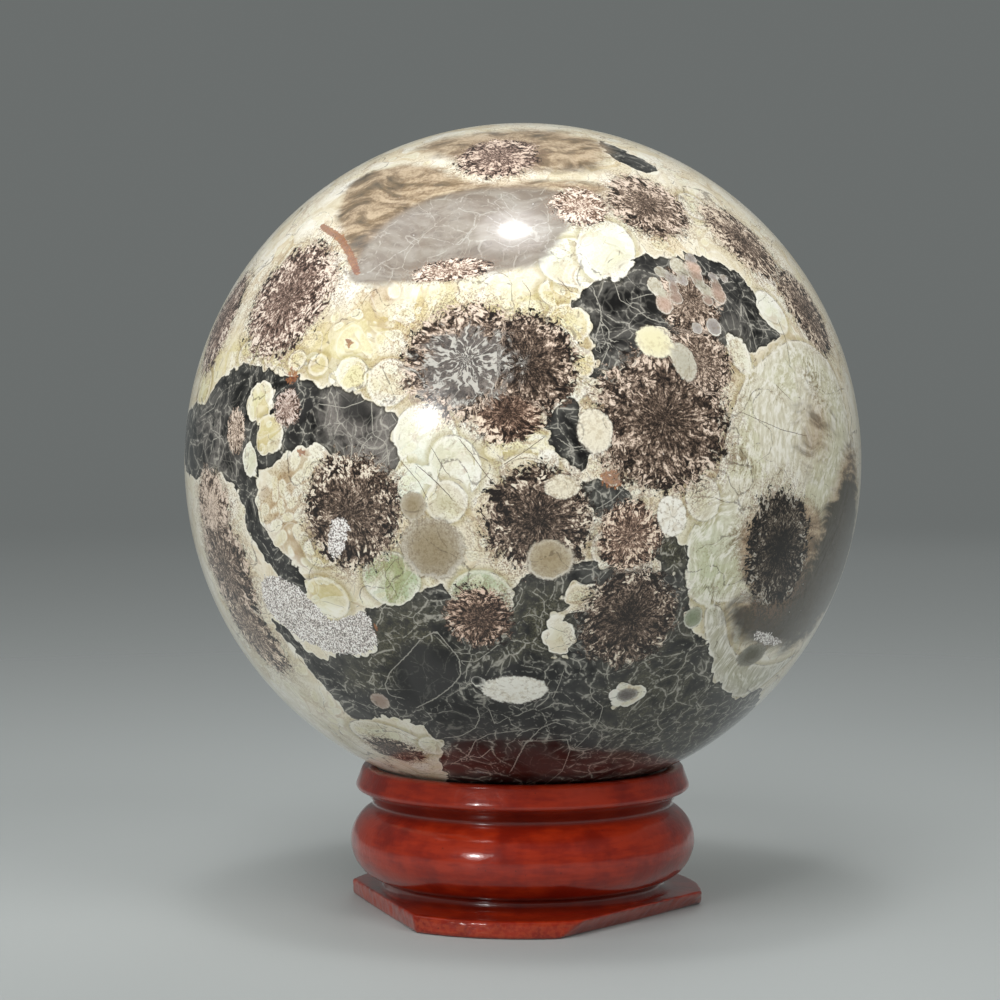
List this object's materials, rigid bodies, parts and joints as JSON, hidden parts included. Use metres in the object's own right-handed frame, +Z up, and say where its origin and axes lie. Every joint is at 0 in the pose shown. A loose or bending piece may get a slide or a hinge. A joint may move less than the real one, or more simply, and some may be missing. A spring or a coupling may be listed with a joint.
{
  "type": "decorative sphere on a ring stand",
  "caption": "Polished ball of orb-patterned stone, resting in a turned, lacquered wooden ring stand with a sawn three-lobed foot.",
  "frame": {"origin": "on the turned axis of the ring stand, on the surface that it stands on", "axes": "+Z up along the turned axis, -Y towards the viewer of the picture, +X to that viewer's right"},
  "size_m": [0.056, 0.056, 0.0651],
  "materials": {
    "stone": "polished, orb-patterned cream, brown-purple and near-black",
    "lacquered_wood": "glossy red-brown lacquer"
  },
  "bodies": {
    "root": {"stone_sphere": "stone", "ring_stand": "lacquered_wood"}
  },
  "joints": []
}
